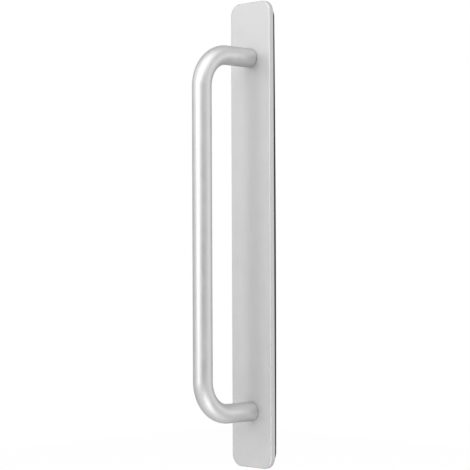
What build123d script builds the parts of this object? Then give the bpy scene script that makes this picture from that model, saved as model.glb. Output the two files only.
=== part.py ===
from build123d import *
import os
from math import radians, tan

# Adhesive pull handle: a round bar bent into a D, screwed from behind to a long flat plate
# that is held on a door or drawer front by die-cut foam tape. All lengths are in millimetres.
# X runs across the plate, Y runs into the door and Z runs up the plate. The origin is the
# middle of the tape's back face, and the bar stands out towards -Y.

# Pull bar
bar_diameter = 12.0
bar_leg_spacing = 220.0
bar_projection = 42.0
bar_bend_radius = 21.0
bar_end_chamfer = 0.4

# Back plate, which reaches past the axis of each bar leg by its end overhang
plate_end_overhang = 35.0
plate_width = 34.0
plate_thickness = 3.5
plate_corner_radius = 7.5
plate_front_edge_radius = 0.8
plate_back_edge_chamfer = 0.3

# Foam tape
tape_thickness = 1.5
tape_inset = 0.3
tape_corner_easing = 3.5
tape_window_margin = 1.0

# Countersunk screws with a cross recess
screw_length = 16.0
screw_thread_diameter = 5.0
screw_head_diameter = 9.2
screw_head_rim = 0.3
screw_head_angle = 90.0
screw_head_sink = 0.1
screw_tip_chamfer = 0.6
recess_span = 4.6
recess_slot_width = 1.3
recess_depth = 1.9
recess_taper = 10.0

# Fits round the screws
head_clearance = 0.05
shank_clearance = 0.15
thread_clearance = 0.05

# Tapped holes in the bar's ends
tapped_hole_spare_depth = 2.0
tapped_hole_lead_in = 0.4
tapped_hole_lead_in_angle = 90.0
drill_point_angle = 118.0

# Faces of the stack, counted from the door, each looking out towards the bar
door_face = Plane.XZ
plate_back = door_face.offset(tape_thickness)
plate_front = plate_back.offset(plate_thickness)
grip_axis_plane = plate_front.offset(bar_projection)

# Height of the bar legs, and their places on any face of the stack
leg_z = bar_leg_spacing / 2
leg_places = [(0, leg_z), (0, -leg_z)]

# Outline of the plate, which the tape follows
plate_length = bar_leg_spacing + 2 * plate_end_overhang

# Screw head and the mouth of its countersink, wide enough for the sunk head with clearance
thread_radius = screw_thread_diameter / 2
head_radius = screw_head_diameter / 2
head_cone_slope = tan(radians(screw_head_angle / 2))
countersink_radius = (
    head_radius + head_clearance + (screw_head_sink + screw_head_rim) * head_cone_slope
)

# Tapped hole: as deep as the screw reaches past the plate, with room at the bottom
screw_reach = screw_length + screw_head_sink - plate_thickness
tapped_hole_depth = screw_reach + tapped_hole_spare_depth
tapped_hole_radius = thread_radius + thread_clearance
drill_point_height = tapped_hole_radius / tan(radians(drill_point_angle / 2))

os.makedirs("parts", exist_ok=True)

# Foam tape, cut a little inside the plate's outline with rounder corners, and a window round each screw head
with BuildPart() as adhesive_tape:
    with BuildSketch(door_face):
        RectangleRounded(
            plate_width - 2 * tape_inset,
            plate_length - 2 * tape_inset,
            plate_corner_radius - tape_inset + tape_corner_easing,
        )
        with Locations(*leg_places):
            Circle(countersink_radius + tape_window_margin, mode=Mode.SUBTRACT)
    extrude(amount=tape_thickness)
adhesive_tape.part.label = "adhesive_tape"
export_step(adhesive_tape.part, "parts/adhesive_tape.step")

# Back plate, with a rounded front edge and screw holes sunk from behind
with BuildPart() as back_plate:
    with BuildSketch(plate_back):
        RectangleRounded(plate_width, plate_length, plate_corner_radius)
    extrude(amount=plate_thickness)
    fillet(back_plate.faces().sort_by(Axis.Y).first.edges(), radius=plate_front_edge_radius)
    chamfer(back_plate.faces().sort_by(Axis.Y).last.edges(), length=plate_back_edge_chamfer)
    with Locations(-plate_back):
        with Locations(*leg_places):
            CounterSinkHole(
                radius=thread_radius + shank_clearance,
                counter_sink_radius=countersink_radius,
                counter_sink_angle=screw_head_angle,
            )
back_plate.part.label = "back_plate"
export_step(back_plate.part, "parts/back_plate.step")

# Pull bar, bent from one length of round bar, with a tapped hole in each square end
foot_y = plate_front.origin.Y
grip_y = grip_axis_plane.origin.Y
with BuildPart() as pull_bar:
    with BuildLine(Plane.YZ) as bar_line:
        FilletPolyline(
            (foot_y, -leg_z),
            (grip_y, -leg_z),
            (grip_y, leg_z),
            (foot_y, leg_z),
            radius=bar_bend_radius,
        )
    with BuildSketch(Plane(origin=bar_line.line @ 0, z_dir=bar_line.line % 0)):
        Circle(bar_diameter / 2)
    sweep()
    chamfer(pull_bar.faces().filter_by(GeomType.PLANE).edges(), length=bar_end_chamfer)
    with Locations(-plate_front):
        with Locations(*leg_places):
            CounterSinkHole(
                radius=tapped_hole_radius,
                counter_sink_radius=tapped_hole_radius + tapped_hole_lead_in,
                depth=tapped_hole_depth,
                counter_sink_angle=tapped_hole_lead_in_angle,
            )
            with Locations((0, 0, -tapped_hole_depth)):
                Cone(
                    bottom_radius=0,
                    top_radius=tapped_hole_radius,
                    height=drill_point_height,
                    align=(Align.CENTER, Align.CENTER, Align.MAX),
                    mode=Mode.SUBTRACT,
                )
pull_bar.part.label = "pull_bar"
export_step(pull_bar.part, "parts/pull_bar.step")

# Screws: one is turned about its own axis and recessed, and its twin is mirrored from it
head_top_y = plate_back.offset(screw_head_sink).origin.Y
rim_y = head_top_y - screw_head_rim
neck_y = rim_y - (head_radius - thread_radius) / head_cone_slope
tip_y = head_top_y - screw_length
with BuildPart() as bar_screws:
    with BuildSketch(Plane.XY.offset(leg_z)):
        with BuildLine():
            Polyline(
                (0, head_top_y),
                (head_radius, head_top_y),
                (head_radius, rim_y),
                (thread_radius, neck_y),
                (thread_radius, tip_y + screw_tip_chamfer),
                (thread_radius - screw_tip_chamfer, tip_y),
                (0, tip_y),
                close=True,
            )
        make_face()
    revolve(axis=Axis((0, 0, leg_z), (0, 1, 0)))
    with BuildSketch(Plane(origin=(0, head_top_y, leg_z), z_dir=(0, -1, 0))):
        Rectangle(recess_span, recess_slot_width)
        Rectangle(recess_slot_width, recess_span)
    extrude(amount=recess_depth, taper=recess_taper, mode=Mode.SUBTRACT)
    mirror(about=Plane.XY)
bar_screws.part.label = "bar_screws"
export_step(bar_screws.part, "parts/bar_screws.step")
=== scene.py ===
from math import ceil, cos, pi, radians, sin, tan

import bmesh
import bpy
from mathutils import Matrix, Vector


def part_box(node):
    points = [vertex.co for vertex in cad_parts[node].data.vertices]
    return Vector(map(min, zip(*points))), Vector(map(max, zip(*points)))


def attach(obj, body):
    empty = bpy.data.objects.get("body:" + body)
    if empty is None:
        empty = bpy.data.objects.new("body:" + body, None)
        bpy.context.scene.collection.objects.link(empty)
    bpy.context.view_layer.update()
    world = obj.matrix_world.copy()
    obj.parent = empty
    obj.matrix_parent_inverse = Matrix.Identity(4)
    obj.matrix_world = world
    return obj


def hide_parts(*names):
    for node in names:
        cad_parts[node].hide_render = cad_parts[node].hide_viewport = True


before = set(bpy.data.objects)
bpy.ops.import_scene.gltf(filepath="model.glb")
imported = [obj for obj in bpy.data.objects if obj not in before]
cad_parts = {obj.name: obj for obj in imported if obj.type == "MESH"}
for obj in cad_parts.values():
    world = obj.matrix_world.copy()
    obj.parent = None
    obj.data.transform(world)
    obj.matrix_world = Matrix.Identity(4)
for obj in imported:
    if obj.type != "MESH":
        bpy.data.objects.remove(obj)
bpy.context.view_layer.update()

bl_info = {
    "name": "Adhesive Pull Handle",
    "version": (1, 0, 0),
    "blender": (4, 5, 0),
    "location": "View3D > Sidebar > Pull Handle",
    "description": "Builds a bent bar handle on a back plate with foam tape, round its solid model",
    "category": "Add Mesh",
}

MM = 0.001
SHARP_EDGE = radians(30.0)
MERGE_DISTANCE = 0.0002 * MM
SENSOR_WIDTH = 36.0
bar_low, bar_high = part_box("pull_bar")
plate_low, plate_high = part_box("back_plate")
tape_low, tape_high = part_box("adhesive_tape")
screws_low, screws_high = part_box("bar_screws")
bar_width = bar_high.x - bar_low.x
screw_head_width = screws_high.x - screws_low.x


def length(name, description, default):
    """A size in metres that a user can change."""
    return bpy.props.FloatProperty(
        name=name, description=description, default=default, min=0.0, unit="LENGTH", subtype="DISTANCE"
    )


def angle(name, description, degrees):
    """An angle that a user can change."""
    return bpy.props.FloatProperty(
        name=name, description=description, default=radians(degrees), unit="ROTATION", subtype="ANGLE"
    )


def count(name, description, default):
    """A number of steps that a user can change."""
    return bpy.props.IntProperty(name=name, description=description, default=default, min=3)


def colour(name, description, default):
    """A linear colour that a user can change."""
    return bpy.props.FloatVectorProperty(
        name=name, description=description, default=default, size=3, min=0.0, max=1.0, subtype="COLOR"
    )


def share(name, description, default):
    """A value from 0 to 1 that a user can change."""
    return bpy.props.FloatProperty(
        name=name, description=description, default=default, min=0.0, max=1.0, subtype="FACTOR"
    )


def power(name, description, default):
    """The power of a lamp, in watts."""
    return bpy.props.FloatProperty(
        name=name, description=description, default=default, min=0.0, unit="POWER"
    )


class PullBarSettings(bpy.types.PropertyGroup):
    """Sizes of the bent round bar."""

    diameter: length("Diameter", "Thickness of the round bar", bar_width)
    leg_spacing: length(
        "Leg spacing", "Between the axes of the two legs", bar_high.z - bar_low.z - bar_width
    )
    projection: length(
        "Projection", "From the plate to the grip's axis", bar_high.y - bar_low.y - bar_width / 2
    )
    foot_depth: length("Foot depth", "From the door to the bar's feet", -bar_high.y)
    bend_radius: length("Bend radius", "Of the bar's axis at each bend", 21.0 * MM)
    end_chamfer: length("End chamfer", "Round the edge of each foot", 0.4 * MM)
    round_steps: count("Round steps", "Faces round the bar", 96)
    bend_steps: count("Bend steps", "Faces along each bend", 40)


class TappedHoleSettings(bpy.types.PropertyGroup):
    """Sizes of the blind hole in each foot of the bar."""

    diameter: length("Diameter", "Of the hole's wall", 5.1 * MM)
    depth: length("Depth", "From the foot to the end of the wall", 14.6 * MM)
    lead_in: length("Lead-in", "Width and depth of the chamfer at the mouth", 0.4 * MM)
    point_angle: angle("Point angle", "Of the drill that left the bottom", 118.0)


class BackPlateSettings(bpy.types.PropertyGroup):
    """Sizes of the flat plate behind the bar."""

    corner_radius: length("Corner radius", "Of the plate's outline", 7.5 * MM)
    front_edge_radius: length("Front edge radius", "Rounding of the front edge", 0.8 * MM)
    back_edge_chamfer: length("Back edge chamfer", "Easing of the back edge", 0.3 * MM)
    hole_diameter: length("Hole diameter", "Clearance hole for a bar screw", 5.3 * MM)
    countersink_diameter: length("Countersink diameter", "At the plate's back face", 10.1 * MM)
    countersink_angle: angle("Countersink angle", "Whole angle of the cone", 90.0)
    corner_steps: count("Corner steps", "Faces round each corner", 24)
    edge_steps: count("Edge steps", "Faces across the rounded edge", 6)
    hole_steps: count("Hole steps", "Faces round each hole", 64)


class FoamTapeSettings(bpy.types.PropertyGroup):
    """Sizes of the die-cut foam tape behind the plate."""

    corner_radius: length("Corner radius", "Of the tape's outline", 10.7 * MM)
    window_diameter: length("Window diameter", "Opening round each screw head", 12.1 * MM)
    edge_swell: length("Edge swell", "How far the long edges are pressed out at their middle", 0.12 * MM)
    edge_bow: length("Edge bow", "How much further in the long edges lie at the tape's ends", 0.62 * MM)
    edge_waist: length("Edge waist", "How far the cut edge sinks in at its middle", 0.04 * MM)
    corner_steps: count("Corner steps", "Faces round each corner", 24)
    side_steps: count("Side steps", "Faces along each long edge", 48)
    wall_steps: count("Wall steps", "Faces across the cut edge", 8)
    window_steps: count("Window steps", "Faces round each window", 64)


class BarScrewSettings(bpy.types.PropertyGroup):
    """Sizes of the countersunk screws."""

    head_diameter: length("Head diameter", "Across the countersunk head", screw_head_width)
    head_rim: length("Head rim", "Straight land at the head's edge", 0.3 * MM)
    head_angle: angle("Head angle", "Whole angle of the cone", 90.0)
    thread_diameter: length("Thread diameter", "Over the thread's crests", 5.0 * MM)
    thread_depth: length("Thread depth", "From crest to root", 0.48 * MM)
    thread_pitch: length("Thread pitch", "From crest to crest", 0.8 * MM)
    tip_chamfer: length("Tip chamfer", "At the screw's end", 0.6 * MM)
    recess_span: length("Recess span", "Across the cross recess", 4.6 * MM)
    recess_slot: length("Recess slot", "Width of each wing of the cross", 1.3 * MM)
    recess_depth: length("Recess depth", "Of the cross recess", 1.9 * MM)
    recess_taper: angle("Recess taper", "Lean of the recess walls", 10.0)
    turn_step: angle("Turn step", "How far one screw stands turned from the next", 37.0)
    round_steps: count("Round steps", "Faces round the screw", 40)
    thread_steps: count("Thread steps", "Faces across one turn of the thread", 8)


class FinishSettings(bpy.types.PropertyGroup):
    """Colours and roughness of the finishes."""

    aluminium: colour("Aluminium", "Blasted and clear anodised", (0.62, 0.62, 0.62))
    aluminium_rim: colour("Aluminium rim", "Where the surface turns away", (0.45, 0.45, 0.45))
    bar_roughness: share("Bar roughness", "Of the drawn and satin-finished bar", 0.48)
    plate_roughness: share("Plate roughness", "Of the blasted plate", 0.62)
    zinc: colour("Zinc plating", "Of the screws", (0.55, 0.56, 0.57))
    foam: colour("Foam", "Closed-cell tape", (0.018, 0.018, 0.019))


class StageSettings(bpy.types.PropertyGroup):
    """Camera, floor and lamps."""

    azimuth: angle("Azimuth", "Of the camera, from straight in front to the right", 44.69)
    elevation: angle("Elevation", "Of the camera above its target", -0.887)
    roll: angle("Roll", "Of the camera about its line of sight", -0.235)
    distance: length("Distance", "From the camera to its target", 1000.1 * MM)
    target: bpy.props.FloatVectorProperty(
        name="Target",
        description="Point that the camera looks at",
        default=(-1.79 * MM, -17.12 * MM, -0.42 * MM),
        size=3,
        unit="LENGTH",
        subtype="TRANSLATION",
    )
    lens: bpy.props.FloatProperty(name="Lens", description="Focal length", default=123.87, unit="CAMERA")
    floor_drop: length("Floor drop", "From the plate's lower end to the floor", 550.0 * MM)
    floor_colour: colour("Floor colour", "Pale floor", (0.8, 0.8, 0.8))
    key_power: power("Key power", "Tall strip in front of the handle", 2.5)
    wide_power: power("Wide power", "Wide softbox behind the key", 3.5)
    top_power: power("Top power", "Broad softbox overhead", 5.9)
    right_back_power: power("Right back power", "Softbox to the right, behind the handle", 1.75)
    high_left_power: power("High left power", "Small softbox up on the left", 0.36)
    high_front_power: power("High front power", "Small softbox up in front, on the right", 1.6)
    low_power: power("Low power", "Softbox near the floor on the right", 1.3)


# Each lamp's azimuth and elevation in degrees, then distance, width and height in metres
SOFTBOXES = {
    "key": (-3.0, 9.0, 1.2, 0.22, 1.0),
    "wide": (-2.0, 9.0, 1.3, 1.3, 1.0),
    "top": (40.0, 62.0, 1.1, 1.6, 0.9),
    "right_back": (130.0, 5.0, 1.2, 1.0, 0.8),
    "high_left": (-48.0, 32.0, 0.65, 0.45, 0.45),
    "high_front": (28.0, 36.0, 1.2, 0.4, 0.4),
    "low": (62.0, -48.0, 0.75, 0.5, 0.42),
}

# Azimuth in degrees, then distance, half width, lower edge and upper edge in metres
DARK_CARD = (52.5, 1.3, 0.54, -0.52, 0.14)
DARK_CARD_GLOW = 0.02
FLOOR_REACH = 4.0
FLOOR_GLOW = 0.45
WORLD_LIGHT = 0.67
# Share of the floor's glow and of the world's white that metal mirrors
FLOOR_IN_METAL = 0.1
WORLD_IN_METAL = 0.17

# Places of the colour sockets among those of a Mix node
MIX_FACTOR, MIX_A, MIX_B, MIX_RESULT = 0, 6, 7, 2

SETTINGS = {
    "pull_bar": PullBarSettings,
    "tapped_hole": TappedHoleSettings,
    "back_plate": BackPlateSettings,
    "foam_tape": FoamTapeSettings,
    "bar_screws": BarScrewSettings,
    "finish": FinishSettings,
    "stage": StageSettings,
}


def settings(context, group):
    """The settings of one group of sizes."""
    return getattr(context.scene, "pull_handle_" + group)


# Shared mesh tools


def link_mesh(name, bm, context):
    """Turns a bmesh into an object in the scene, with its faces outwards and its hard edges sharp."""
    bmesh.ops.recalc_face_normals(bm, faces=bm.faces)
    mesh = bpy.data.meshes.new(name)
    bm.to_mesh(mesh)
    bm.free()
    mesh.shade_smooth()
    mesh.set_sharp_from_angle(angle=SHARP_EDGE)
    piece = bpy.data.objects.new(name, mesh)
    context.collection.objects.link(piece)
    return piece


def rounded_outline(half_width, half_length, radius, corner_steps, side_steps=1):
    """Points of a rectangle with round corners in X and Z, anticlockwise seen from the front."""
    points = []
    for corner in range(4):
        start = corner * pi / 2
        side_x = 1 if corner in (0, 3) else -1
        side_z = 1 if corner in (0, 1) else -1
        centre = Vector((side_x * (half_width - radius), side_z * (half_length - radius)))
        for step in range(corner_steps + 1):
            turn = start + step / corner_steps * pi / 2
            points.append(centre + radius * Vector((cos(turn), sin(turn))))
        if corner in (1, 3):
            end = Vector((points[-1].x, -points[-1].y))
            points += [points[-1].lerp(end, step / side_steps) for step in range(1, side_steps)]
    return points


def circle_points(radius, centre_z, steps):
    """Points of a circle in X and Z about a height."""
    turns = [2 * pi * i / steps for i in range(steps)]
    return [Vector((radius * cos(turn), centre_z + radius * sin(turn))) for turn in turns]


def add_ring(bm, points, depth):
    """Vertices of one closed ring at a depth along Y."""
    return [bm.verts.new((point.x, depth, point.y)) for point in points]


def bridge_rings(bm, rings):
    """Faces between each ring and the next."""
    for ring, following in zip(rings, rings[1:]):
        for i in range(len(ring)):
            bm.faces.new((ring[i - 1], ring[i], following[i], following[i - 1]))


def fill_between(bm, *rings):
    """A flat face inside the first ring, with the other rings as holes."""
    edges = []
    for ring in rings:
        for i in range(len(ring)):
            pair = (ring[i - 1], ring[i])
            edges.append(bm.edges.get(pair) or bm.edges.new(pair))
    bmesh.ops.triangle_fill(bm, edges=edges, use_beauty=True)


def finish_piece(piece, material, node):
    """Gives a piece its material and hands it to the frame in place of a node."""
    piece.data.materials.clear()
    piece.data.materials.append(material)
    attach(piece, "root")
    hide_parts(node)


# Node tree tools


def fill_inputs(tree, node, values):
    """Links or sets a node's inputs, in pairs of a name or number and a value."""
    for key, value in values:
        if isinstance(value, bpy.types.NodeSocket):
            tree.links.new(value, node.inputs[key])
        else:
            node.inputs[key].default_value = value


def add_node(tree, kind, options=None, **inputs):
    """Adds a node, sets its options, and links or sets its inputs by name, with _ for a space."""
    node = tree.nodes.new(kind)
    for option, value in (options or {}).items():
        setattr(node, option, value)
    fill_inputs(tree, node, [(name.replace("_", " "), value) for name, value in inputs.items()])
    return node


def add_math(tree, operation, *values):
    """The result of a math node."""
    node = tree.nodes.new("ShaderNodeMath")
    node.operation = operation
    fill_inputs(tree, node, enumerate(values))
    return node.outputs[0]


def add_range(tree, value, low=0.0, high=1.0, to_low=0.0, to_high=1.0):
    """A value taken from one range to another."""
    node = add_node(
        tree,
        "ShaderNodeMapRange",
        {"clamp": True},
        Value=value,
        From_Min=low,
        From_Max=high,
        To_Min=to_low,
        To_Max=to_high,
    )
    return node.outputs[0]


def new_tree(name, kind, inputs, outputs):
    """A node tree with named sockets, and its group nodes."""
    tree = bpy.data.node_groups.new(name, kind)
    for in_out, sockets in (("INPUT", inputs), ("OUTPUT", outputs)):
        for label, socket in sockets:
            tree.interface.new_socket(label, in_out=in_out, socket_type="NodeSocket" + socket)
    return tree, tree.nodes.new("NodeGroupInput").outputs, tree.nodes.new("NodeGroupOutput").inputs


def close_tree(tree, geometry, material, out):
    """Ends a tree in real geometry with its material."""
    realized = add_node(tree, "GeometryNodeRealizeInstances", Geometry=geometry)
    painted = add_node(tree, "GeometryNodeSetMaterial", Geometry=realized.outputs[0], Material=material)
    tree.links.new(painted.outputs[0], out["Geometry"])


def grow(name, tree, values, context):
    """Runs a tree on an empty object and returns the result as a plain bmesh."""
    holder = bpy.data.objects.new(name, bpy.data.meshes.new(name))
    context.collection.objects.link(holder)
    modifier = holder.modifiers.new(name, "NODES")
    modifier.node_group = tree
    for item in tree.interface.items_tree:
        if item.in_out == "INPUT":
            modifier[item.identifier] = values[item.name]
    depsgraph = context.evaluated_depsgraph_get()
    mesh = bpy.data.meshes.new_from_object(holder.evaluated_get(depsgraph), depsgraph=depsgraph)
    bm = bmesh.new()
    bm.from_mesh(mesh)
    holder.modifiers.remove(modifier)
    bpy.data.objects.remove(holder)
    return bm


# Finishes


def metal_grain():
    """Shared group: the fine grain and soft mottle of a blasted or plated metal surface."""
    found = bpy.data.node_groups.get("Metal Grain")
    if found:
        return found
    inputs = [("Vector", "Vector"), ("Grain Size", "Float"), ("Mottle Size", "Float")]
    outputs = [("Height", "Float"), ("Mottle", "Float")]
    tree, given, out = new_tree("Metal Grain", "ShaderNodeTree", inputs, outputs)
    pit_depth, grain_in_mottle = 0.6, 0.3
    fine = add_math(tree, "DIVIDE", 1.0, given["Grain Size"])
    broad = add_math(tree, "DIVIDE", 1.0, given["Mottle Size"])
    where = given["Vector"]
    bumps = add_node(tree, "ShaderNodeTexNoise", Vector=where, Scale=fine, Detail=2.0, Roughness=0.6)
    pits = add_node(tree, "ShaderNodeTexVoronoi", {"feature": "SMOOTH_F1"}, Vector=where, Scale=fine)
    clouds = add_node(tree, "ShaderNodeTexNoise", Vector=where, Scale=broad, Detail=3.0, Roughness=0.55)
    height = add_math(tree, "MULTIPLY_ADD", pits.outputs["Distance"], pit_depth, bumps.outputs["Fac"])
    tree.links.new(height, out["Height"])
    mottle = add_math(tree, "MULTIPLY_ADD", bumps.outputs["Fac"], grain_in_mottle, clouds.outputs["Fac"])
    tree.links.new(add_range(tree, mottle, low=0.4, high=0.9), out["Mottle"])
    return tree


def new_material(name, roughness_low, roughness_high, bump_depth, bump_strength):
    """A material whose roughness and bump wait for their patterns, as a table of its nodes."""
    material = bpy.data.materials.new(name)
    material.use_nodes = True
    tree = material.node_tree
    shader = tree.nodes["Principled BSDF"]
    place = tree.nodes.new("ShaderNodeTexCoord")
    bump = add_node(tree, "ShaderNodeBump", Distance=bump_depth, Strength=bump_strength)
    tree.links.new(bump.outputs[0], shader.inputs["Normal"])
    rough = add_range(tree, 0.5, to_low=roughness_low, to_high=roughness_high)
    tree.links.new(rough, shader.inputs["Roughness"])
    return {
        "material": material,
        "tree": tree,
        "shader": shader,
        "place": place,
        "height": bump.inputs["Height"],
        "rough": rough.node.inputs["Value"],
    }


def shade(tree, colour_value, spread, mask, target):
    """Feeds a colour that lightens and darkens a little with a mask."""
    low = tuple(min(1.0, c * (1 - spread)) for c in colour_value)
    high = tuple(min(1.0, c * (1 + spread)) for c in colour_value)
    mix = add_node(tree, "ShaderNodeMix", {"data_type": "RGBA"})
    fill_inputs(tree, mix, [(MIX_FACTOR, mask), (MIX_A, (*low, 1.0)), (MIX_B, (*high, 1.0))])
    tree.links.new(mix.outputs[MIX_RESULT], target)


def metal(name, colour_value, spread, grain_size, mottle_size, roughness, bump_depth, bump_strength):
    """A grained metal finish and its shader."""
    made = new_material(name, *roughness, bump_depth, bump_strength)
    tree, shader = made["tree"], made["shader"]
    grain = add_node(
        tree,
        "ShaderNodeGroup",
        {"node_tree": metal_grain()},
        Vector=made["place"].outputs["Object"],
        Grain_Size=grain_size,
        Mottle_Size=mottle_size,
    )
    tree.links.new(grain.outputs["Height"], made["height"])
    tree.links.new(grain.outputs["Mottle"], made["rough"])
    shade(tree, colour_value, spread, grain.outputs["Mottle"], shader.inputs["Base Color"])
    shader.inputs["Metallic"].default_value = 1.0
    return made["material"], shader


def satin_aluminium(name, roughness, context):
    """Fine satin aluminium, clear anodised."""
    finish = settings(context, "finish")
    unevenness, metal_share = 0.04, 0.9
    material, shader = metal(
        name,
        finish.aluminium,
        spread=0.03,
        grain_size=0.16 * MM,
        mottle_size=9.0 * MM,
        roughness=(roughness - unevenness, roughness + unevenness),
        bump_depth=0.01 * MM,
        bump_strength=0.25,
    )
    shader.inputs["Metallic"].default_value = metal_share
    shader.inputs["Specular Tint"].default_value = (*finish.aluminium_rim, 1.0)
    return material


def zinc_plated_steel(context):
    """Bright zinc plating on the screws."""
    material, _ = metal(
        "bright_zinc",
        settings(context, "finish").zinc,
        spread=0.1,
        grain_size=0.12 * MM,
        mottle_size=1.6 * MM,
        roughness=(0.2, 0.42),
        bump_depth=0.01 * MM,
        bump_strength=0.35,
    )
    return material


def foam_black(context):
    """Black closed-cell foam with open cells on its cut edges and a glossier adhesive back, its colour
    darkened in the hollows of its relief as painted shade.
    """
    cells_per_metre, ripples_per_metre = 3200.0, 260.0
    pores_on_back, skin_relief, cut_roughness = 0.3, 0.6, 0.75
    made = new_material(
        "foam_black", roughness_low=0.5, roughness_high=0.92, bump_depth=0.08 * MM, bump_strength=0.6
    )
    tree, shader, place = made["tree"], made["shader"], made["place"]
    where = place.outputs["Object"]
    cells = add_node(
        tree, "ShaderNodeTexVoronoi", {"feature": "DISTANCE_TO_EDGE"}, Vector=where, Scale=cells_per_metre
    )
    ripple = add_node(
        tree, "ShaderNodeTexNoise", Vector=where, Scale=ripples_per_metre, Detail=3.0, Roughness=0.5
    )
    side = add_node(tree, "ShaderNodeSeparateXYZ", Vector=place.outputs["Normal"])
    back = add_range(tree, side.outputs["Y"], low=0.6, high=0.95)
    cut = add_math(tree, "SUBTRACT", 1.0, back)
    walls = add_range(tree, cells.outputs["Distance"], high=0.18, to_low=1.0, to_high=0.0)
    openness = add_math(tree, "MULTIPLY_ADD", cut, 1.0 - pores_on_back, pores_on_back)
    pores = add_math(tree, "MULTIPLY", walls, openness)
    skin = add_range(tree, ripple.outputs["Fac"], low=0.35, high=0.65)
    tree.links.new(add_math(tree, "MULTIPLY_ADD", skin, skin_relief, pores), made["height"])
    skin_roughness = add_math(tree, "MULTIPLY", skin, 1.0 - cut_roughness)
    tree.links.new(add_math(tree, "MULTIPLY_ADD", cut, cut_roughness, skin_roughness), made["rough"])
    tint = settings(context, "finish").foam
    # Painted shade and light: the foam's colour is darker in the open cell hollows and ripple troughs, and
    # lighter on the raised cell walls and ripple crests, following the bump relief
    light = add_math(tree, "MULTIPLY_ADD", skin, 0.5, add_math(tree, "MULTIPLY", pores, 0.5))
    shade(tree, tint, 0.5, light, shader.inputs["Base Color"])
    return made["material"]


# Pull bar


def bent_bar_tree():
    """A round section swept along a path with two bends."""
    lengths = ("Leg Spacing", "Projection", "Foot Depth", "Start", "Bend Radius", "Diameter")
    inputs = [(label, "Float") for label in lengths]
    inputs += [("Bend Steps", "Int"), ("Round Steps", "Int"), ("Material", "Material")]
    tree, given, out = new_tree("Bent Round Bar", "GeometryNodeTree", inputs, [("Geometry", "Geometry")])
    high = add_math(tree, "MULTIPLY", given["Leg Spacing"], 0.5)
    low = add_math(tree, "MULTIPLY", given["Leg Spacing"], -0.5)
    foot = add_math(tree, "MULTIPLY", add_math(tree, "ADD", given["Foot Depth"], given["Start"]), -1.0)
    grip = add_math(tree, "MULTIPLY", add_math(tree, "ADD", given["Foot Depth"], given["Projection"]), -1.0)
    corners = [(foot, low), (grip, low), (grip, high), (foot, high)]
    places = add_node(tree, "GeometryNodeIndexSwitch", {"data_type": "VECTOR"})
    while len(places.index_switch_items) < len(corners):
        places.index_switch_items.new()
    tree.links.new(tree.nodes.new("GeometryNodeInputIndex").outputs[0], places.inputs["Index"])
    for number, (depth, height) in enumerate(corners):
        point = add_node(tree, "ShaderNodeCombineXYZ", Y=depth, Z=height)
        tree.links.new(point.outputs[0], places.inputs[str(number)])
    line = add_node(tree, "GeometryNodeMeshLine", Count=len(corners))
    bent = add_node(tree, "GeometryNodeSetPosition", Geometry=line.outputs[0], Position=places.outputs[0])
    path = add_node(tree, "GeometryNodeMeshToCurve", Mesh=bent.outputs[0])
    rounded = add_node(
        tree,
        "GeometryNodeFilletCurve",
        {"mode": "POLY"},
        Curve=path.outputs[0],
        Count=given["Bend Steps"],
        Radius=given["Bend Radius"],
    )
    radius = add_math(tree, "MULTIPLY", given["Diameter"], 0.5)
    ring = add_node(
        tree, "GeometryNodeCurvePrimitiveCircle", Resolution=given["Round Steps"], Radius=radius
    )
    skin = add_node(
        tree, "GeometryNodeCurveToMesh", Curve=rounded.outputs[0], Profile_Curve=ring.outputs[0]
    )
    close_tree(tree, skin.outputs[0], given["Material"], out)
    return tree


def open_end(bm, above):
    """The open end of the bar's skin above or below the middle, in order round the leg."""
    ends = [v for v in bm.verts if v.is_boundary and (v.co.z > 0) == above]
    middle = sum(v.co.z for v in ends) / len(ends)
    across = Vector((1.0, 0.0))
    return sorted(ends, key=lambda v: Vector((v.co.x, v.co.z - middle)).angle_signed(across))


def close_foot(bm, loop, leg_z, foot_y, bar, hole):
    """Closes one open end of the bar with its chamfered foot and its tapped hole."""
    wall = hole.diameter / 2
    profile = [
        (bar.diameter / 2 - bar.end_chamfer, 0.0),
        (wall + hole.lead_in, 0.0),
        (wall, hole.lead_in),
        (wall, hole.depth),
    ]
    spokes = [Vector((v.co.x, v.co.z - leg_z)).normalized() for v in loop]
    rings = [loop]
    for radius, depth in profile:
        points = [spoke * radius + Vector((0.0, leg_z)) for spoke in spokes]
        rings.append(add_ring(bm, points, foot_y - depth))
    bridge_rings(bm, rings)
    tip = bm.verts.new((0.0, foot_y - hole.depth - wall / tan(hole.point_angle / 2), leg_z))
    bottom = rings[-1]
    for i in range(len(bottom)):
        bm.faces.new((bottom[i - 1], bottom[i], tip))


class HANDLE_OT_pull_bar(bpy.types.Operator):
    """Bend the round pull bar and tap its ends"""

    bl_idname = "pull_handle.pull_bar"
    bl_label = "Pull Bar"

    def execute(self, context):
        bar = settings(context, "pull_bar")
        hole = settings(context, "tapped_hole")
        material = satin_aluminium("satin_bar", settings(context, "finish").bar_roughness, context)
        values = {
            "Leg Spacing": bar.leg_spacing,
            "Projection": bar.projection,
            "Foot Depth": bar.foot_depth,
            "Start": bar.end_chamfer,
            "Bend Radius": bar.bend_radius,
            "Diameter": bar.diameter,
            "Bend Steps": bar.bend_steps,
            "Round Steps": bar.round_steps,
            "Material": material,
        }
        bm = grow("bent_bar_skin", bent_bar_tree(), values, context)
        for above, leg_z in ((True, bar.leg_spacing / 2), (False, -bar.leg_spacing / 2)):
            close_foot(bm, open_end(bm, above), leg_z, -bar.foot_depth, bar, hole)
        piece = link_mesh("bent_pull_bar", bm, context)
        finish_piece(piece, material, "pull_bar")
        return {"FINISHED"}


# Back plate


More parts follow.
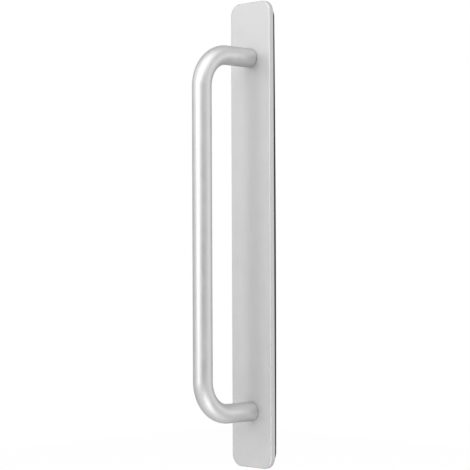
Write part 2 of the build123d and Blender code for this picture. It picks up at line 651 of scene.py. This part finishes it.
class HANDLE_OT_back_plate(bpy.types.Operator):
    """Cut the back plate, with its rounded front edge and countersunk holes"""

    bl_idname = "pull_handle.back_plate"
    bl_label = "Back Plate"

    def execute(self, context):
        plate = settings(context, "back_plate")
        leg_z = settings(context, "pull_bar").leg_spacing / 2
        front, back = plate_low.y, plate_high.y
        edge = plate.front_edge_radius
        support = edge / 4
        levels = [(edge + support, front)]
        for step in range(plate.edge_steps + 1):
            turn = step / plate.edge_steps * pi / 2
            levels.append((edge * (1 - sin(turn)), front + edge * (1 - cos(turn))))
        levels.append((0.0, front + edge + support))
        levels.append((0.0, back - plate.back_edge_chamfer))
        levels.append((plate.back_edge_chamfer, back))
        bm = bmesh.new()
        rings = []
        for inset, depth in levels:
            outline = rounded_outline(
                plate_high.x - inset, plate_high.z - inset, plate.corner_radius - inset, plate.corner_steps
            )
            rings.append(add_ring(bm, outline, depth))
        bridge_rings(bm, rings)
        hole = plate.hole_diameter / 2
        mouth = plate.countersink_diameter / 2
        cone_depth = (mouth - hole) / tan(plate.countersink_angle / 2)
        front_holes, back_holes = [], []
        for height in (leg_z, -leg_z):
            walls = [(hole, front), (hole, back - cone_depth), (mouth, back)]
            sides = [add_ring(bm, circle_points(r, height, plate.hole_steps), y) for r, y in walls]
            bridge_rings(bm, sides)
            front_holes.append(sides[0])
            back_holes.append(sides[-1])
        fill_between(bm, rings[0], *front_holes)
        fill_between(bm, rings[-1], *back_holes)
        piece = link_mesh("rounded_back_plate", bm, context)
        material = satin_aluminium("blasted_plate", settings(context, "finish").plate_roughness, context)
        finish_piece(piece, material, "back_plate")
        return {"FINISHED"}


# Foam tape


class HANDLE_OT_foam_tape(bpy.types.Operator):
    """Cut the foam tape, with a window round each screw head"""

    bl_idname = "pull_handle.foam_tape"
    bl_label = "Foam Tape"

    def execute(self, context):
        tape = settings(context, "foam_tape")
        leg_z = settings(context, "pull_bar").leg_spacing / 2
        half_width, half_length = tape_high.x, tape_high.z
        bm = bmesh.new()
        rings, upper, lower = [], [], []
        for step in range(tape.wall_steps + 1):
            part = step / tape.wall_steps
            depth = tape_low.y + (tape_high.y - tape_low.y) * part
            inset = tape.edge_waist * sin(pi * part)
            outline = rounded_outline(
                half_width - inset,
                half_length - inset,
                tape.corner_radius - inset,
                tape.corner_steps,
                tape.side_steps,
            )
            for point in outline:
                point.x *= 1 + (tape.edge_swell - tape.edge_bow * (point.y / half_length) ** 2) / half_width
            rings.append(add_ring(bm, outline, depth))
            radius = tape.window_diameter / 2 + inset
            upper.append(add_ring(bm, circle_points(radius, leg_z, tape.window_steps), depth))
            lower.append(add_ring(bm, circle_points(radius, -leg_z, tape.window_steps), depth))
        for sides in (rings, upper, lower):
            bridge_rings(bm, sides)
        for end in (0, -1):
            fill_between(bm, rings[end], upper[end], lower[end])
        piece = link_mesh("die_cut_foam_tape", bm, context)
        finish_piece(piece, foam_black(context), "adhesive_tape")
        return {"FINISHED"}


# Bar screws


def thread_ridge(phase):
    """Height of the thread over one pitch, from 0 at its root to 1 at its crest."""
    half_base, flank = 0.36, 0.3
    return min(1.0, max(0.0, (half_base - abs(phase - 0.5)) / flank))


def add_thread(bm, screw, core, top, end):
    """A helical ridge between two depths that runs out into the core at both of them."""
    columns, steps, pitch = screw.round_steps, screw.thread_steps, screw.thread_pitch
    span = top - end
    rows = ceil((span / pitch + 1) * steps)
    grid = []
    for i in range(columns):
        turn = 2 * pi * i / columns
        line = []
        for j in range(rows + 1):
            along = min(max((j / steps + i / columns - 1) * pitch, 0.0), span)
            fade = min(1.0, along / pitch, (span - along) / pitch)
            radius = core + screw.thread_depth * fade * thread_ridge(j % steps / steps)
            line.append(bm.verts.new((radius * cos(turn), top - along, radius * sin(turn))))
        grid.append(line)
    for i in range(columns):
        here, there = grid[i - 1], grid[i]
        ahead = steps if i == 0 else 0
        for j in range(rows):
            near, far = min(j + ahead, rows), min(j + 1 + ahead, rows)
            bm.faces.new(tuple(dict.fromkeys((here[j], there[near], there[far], here[j + 1]))))


def cross_points(span, slot, inset):
    """Outline of a cross recess, anticlockwise."""
    a, b = span / 2 - inset, slot / 2 - inset
    wing = [Vector((a, -b)), Vector((a, b)), Vector((b, b))]
    points = []
    for quarter in range(4):
        points += [Matrix.Rotation(quarter * pi / 2, 2) @ point for point in wing]
    return points


def single_screw(screw, context):
    """One countersunk screw with its head's top at the origin, pointing along -Y."""
    head = screw.head_diameter / 2
    crest = screw.thread_diameter / 2
    core = crest - screw.thread_depth
    tip = screws_low.y - screws_high.y
    neck = -screw.head_rim - (head - core) / tan(screw.head_angle / 2)
    bm = bmesh.new()

    def turned(profile):
        return [add_ring(bm, circle_points(r, 0.0, screw.round_steps), y) for r, y in profile]

    top = turned([(head, 0.0), (head, -screw.head_rim), (core, neck)])
    end = turned([(core, tip + screw.tip_chamfer), (crest - screw.tip_chamfer, tip)])
    bridge_rings(bm, top)
    bridge_rings(bm, end)
    fill_between(bm, end[-1])
    add_thread(bm, screw, core, neck, tip + screw.tip_chamfer)
    lean = screw.recess_depth * tan(screw.recess_taper)
    mouth = add_ring(bm, cross_points(screw.recess_span, screw.recess_slot, 0.0), 0.0)
    floor = add_ring(bm, cross_points(screw.recess_span, screw.recess_slot, lean), -screw.recess_depth)
    bridge_rings(bm, [mouth, floor])
    fill_between(bm, top[0], mouth)
    fill_between(bm, floor)
    bmesh.ops.remove_doubles(bm, verts=bm.verts, dist=MERGE_DISTANCE)
    bmesh.ops.dissolve_degenerate(bm, edges=bm.edges, dist=MERGE_DISTANCE)
    return link_mesh("single_screw", bm, context)


def screw_pair_tree():
    """Copies of a screw at both legs, each turned a little further than the last."""
    inputs = [("Screw", "Object"), ("Leg Spacing", "Float"), ("Head Depth", "Float")]
    inputs += [("Turn Step", "Float"), ("Material", "Material")]
    tree, given, out = new_tree("Screw Pair", "GeometryNodeTree", inputs, [("Geometry", "Geometry")])
    high = add_math(tree, "MULTIPLY", given["Leg Spacing"], 0.5)
    low = add_math(tree, "MULTIPLY", given["Leg Spacing"], -0.5)
    depth = add_math(tree, "MULTIPLY", given["Head Depth"], -1.0)
    first = add_node(tree, "ShaderNodeCombineXYZ", Y=depth, Z=low)
    last = add_node(tree, "ShaderNodeCombineXYZ", Y=depth, Z=high)
    line = add_node(tree, "GeometryNodeMeshLine", {"mode": "END_POINTS"}, Count=2)
    fill_inputs(tree, line, [("Start Location", first.outputs[0]), ("Offset", last.outputs[0])])
    index = tree.nodes.new("GeometryNodeInputIndex").outputs[0]
    turn = add_math(tree, "MULTIPLY", add_math(tree, "ADD", index, 0.5), given["Turn Step"])
    spin = add_node(tree, "FunctionNodeAxisAngleToRotation", Axis=(0.0, 1.0, 0.0), Angle=turn)
    screw = add_node(tree, "GeometryNodeObjectInfo", Object=given["Screw"], As_Instance=True)
    pair = add_node(
        tree,
        "GeometryNodeInstanceOnPoints",
        Points=line.outputs[0],
        Instance=screw.outputs["Geometry"],
        Rotation=spin.outputs[0],
    )
    close_tree(tree, pair.outputs[0], given["Material"], out)
    return tree


class HANDLE_OT_bar_screws(bpy.types.Operator):
    """Turn a countersunk screw and set one at each leg"""

    bl_idname = "pull_handle.bar_screws"
    bl_label = "Bar Screws"

    def execute(self, context):
        screw = settings(context, "bar_screws")
        master = single_screw(screw, context)
        material = zinc_plated_steel(context)
        values = {
            "Screw": master,
            "Leg Spacing": settings(context, "pull_bar").leg_spacing,
            "Head Depth": -screws_high.y,
            "Turn Step": screw.turn_step,
            "Material": material,
        }
        bm = grow("screw_pair", screw_pair_tree(), values, context)
        bpy.data.objects.remove(master)
        piece = link_mesh("countersunk_bar_screws", bm, context)
        finish_piece(piece, material, "bar_screws")
        return {"FINISHED"}


# Stage


def aimed(azimuth, elevation, distance, target, roll=0.0):
    """Place and turn of a camera or lamp that looks at a target from two angles and a distance."""
    back = Vector((sin(azimuth) * cos(elevation), -cos(azimuth) * cos(elevation), sin(elevation)))
    right = Vector((cos(azimuth), sin(azimuth), 0.0))
    up = back.cross(right)
    turned_right = cos(roll) * right + sin(roll) * up
    turned_up = cos(roll) * up - sin(roll) * right
    matrix = Matrix((turned_right, turned_up, back)).transposed().to_4x4()
    matrix.translation = target + back * distance
    return matrix


def seen_as_white(tree, in_metal):
    """1 for rays from the camera or through glass, and a given share for those that metal mirrors."""
    path = tree.nodes.new("ShaderNodeLightPath").outputs
    mirrored = add_math(tree, "MULTIPLY", path["Is Glossy Ray"], in_metal)
    shown = add_math(tree, "MAXIMUM", path["Is Camera Ray"], mirrored)
    return add_math(tree, "MAXIMUM", shown, path["Is Transmission Ray"])


def add_softbox(name, place, width, height, watts, context):
    """A rectangular area lamp that the camera doesn't see."""
    lamp = bpy.data.lights.new(name, "AREA")
    lamp.shape = "RECTANGLE"
    lamp.size = width
    lamp.size_y = height
    lamp.energy = watts
    softbox = bpy.data.objects.new(name, lamp)
    context.collection.objects.link(softbox)
    softbox.matrix_world = place
    softbox.visible_camera = False


def rectangle(left, right, lower, upper, height=0.0):
    """Corners of a rectangle in X and Y, anticlockwise."""
    corners = ((left, lower), (right, lower), (right, upper), (left, upper))
    return [Vector((*corner, height)) for corner in corners]


def add_sheet(name, points, material, context):
    """A flat face of the stage."""
    bm = bmesh.new()
    bm.faces.new([bm.verts.new(point) for point in points])
    mesh = bpy.data.meshes.new(name)
    bm.to_mesh(mesh)
    bm.free()
    mesh.materials.append(material)
    sheet = bpy.data.objects.new(name, mesh)
    context.collection.objects.link(sheet)
    return sheet


def emission_material(name):
    """A material of plain emission, with its tree and its shader."""
    material = bpy.data.materials.new(name)
    material.use_nodes = True
    tree = material.node_tree
    tree.nodes.remove(tree.nodes["Principled BSDF"])
    glow = tree.nodes.new("ShaderNodeEmission")
    tree.links.new(glow.outputs[0], tree.nodes["Material Output"].inputs["Surface"])
    return material, tree, glow


def white_floor_material(tint):
    """A pale floor that reads as white and still takes the handle's shadow."""
    material, tree, glow = emission_material("white_floor")
    matt = add_node(tree, "ShaderNodeBsdfDiffuse", Color=(*tint, 1.0))
    both = tree.nodes.new("ShaderNodeAddShader")
    fill_inputs(tree, both, [(0, matt.outputs[0]), (1, glow.outputs[0])])
    tree.links.new(both.outputs[0], tree.nodes["Material Output"].inputs["Surface"])
    white = seen_as_white(tree, FLOOR_IN_METAL)
    tree.links.new(add_math(tree, "MULTIPLY", white, FLOOR_GLOW), glow.inputs["Strength"])
    return material


def studio_world():
    """White to the rays that see it, and softer as plain light."""
    world = bpy.data.worlds.new("studio")
    world.use_nodes = True
    tree = world.node_tree
    sky = tree.nodes["Background"]
    sky.inputs["Color"].default_value = (1.0, 1.0, 1.0, 1.0)
    white = seen_as_white(tree, WORLD_IN_METAL)
    tree.links.new(add_range(tree, white, to_low=WORLD_LIGHT), sky.inputs["Strength"])
    return world


def add_dark_card(target, context):
    """A dark sheet behind the camera that shows only as a darker band on the bar."""
    azimuth, distance, half_width, lower, upper = DARK_CARD
    material, _, glow = emission_material("dark_card")
    glow.inputs["Color"].default_value = (*[DARK_CARD_GLOW] * 3, 1.0)
    place = aimed(radians(azimuth), 0.0, distance, target)
    corners = [place @ corner for corner in rectangle(-half_width, half_width, lower, upper)]
    card = add_sheet("dark_card", corners, material, context)
    card.visible_camera = False
    card.visible_diffuse = False


class HANDLE_OT_stage(bpy.types.Operator):
    """Set the floor, lamps and camera"""

    bl_idname = "pull_handle.stage"
    bl_label = "Stage"

    def execute(self, context):
        stage = settings(context, "stage")
        scene = context.scene
        scene.view_settings.view_transform = "Standard"
        scene.world = studio_world()
        target = Vector(stage.target)
        camera = bpy.data.objects.new("camera", bpy.data.cameras.new("camera"))
        context.collection.objects.link(camera)
        camera.data.lens = stage.lens
        camera.data.sensor_width = SENSOR_WIDTH
        camera.matrix_world = aimed(stage.azimuth, stage.elevation, stage.distance, target, stage.roll)
        scene.camera = camera
        height = plate_low.z - stage.floor_drop
        corners = rectangle(-FLOOR_REACH, FLOOR_REACH, -FLOOR_REACH, FLOOR_REACH, height)
        add_sheet("floor", corners, white_floor_material(stage.floor_colour), context)
        add_dark_card(target, context)
        for name, (azimuth, elevation, distance, width, tall) in SOFTBOXES.items():
            place = aimed(radians(azimuth), radians(elevation), distance, target)
            add_softbox(name, place, width, tall, getattr(stage, name + "_power"), context)
        return {"FINISHED"}


class HANDLE_PT_panel(bpy.types.Panel):
    """Lists the pieces of the handle and their sizes"""

    bl_idname = "HANDLE_PT_panel"
    bl_label = "Pull Handle"
    bl_space_type = "VIEW_3D"
    bl_region_type = "UI"
    bl_category = "Pull Handle"

    def draw(self, context):
        for operator in OPERATORS:
            self.layout.operator(operator.bl_idname)
        for group, kind in SETTINGS.items():
            box = self.layout.box()
            box.label(text=group.replace("_", " ").capitalize())
            for name in kind.__annotations__:
                box.prop(settings(context, group), name)


OPERATORS = (
    HANDLE_OT_back_plate,
    HANDLE_OT_pull_bar,
    HANDLE_OT_bar_screws,
    HANDLE_OT_foam_tape,
    HANDLE_OT_stage,
)


def register():
    for cls in (*SETTINGS.values(), *OPERATORS, HANDLE_PT_panel):
        bpy.utils.register_class(cls)
    for group, kind in SETTINGS.items():
        setattr(bpy.types.Scene, "pull_handle_" + group, bpy.props.PointerProperty(type=kind))


def unregister():
    for group in SETTINGS:
        delattr(bpy.types.Scene, "pull_handle_" + group)
    for cls in (HANDLE_PT_panel, *reversed(OPERATORS), *reversed(SETTINGS.values())):
        bpy.utils.unregister_class(cls)


def main():
    register()
    bpy.ops.pull_handle.back_plate()
    bpy.ops.pull_handle.pull_bar()
    bpy.ops.pull_handle.bar_screws()
    bpy.ops.pull_handle.foam_tape()
    bpy.ops.pull_handle.stage()


if __name__ == "__main__":
    main()
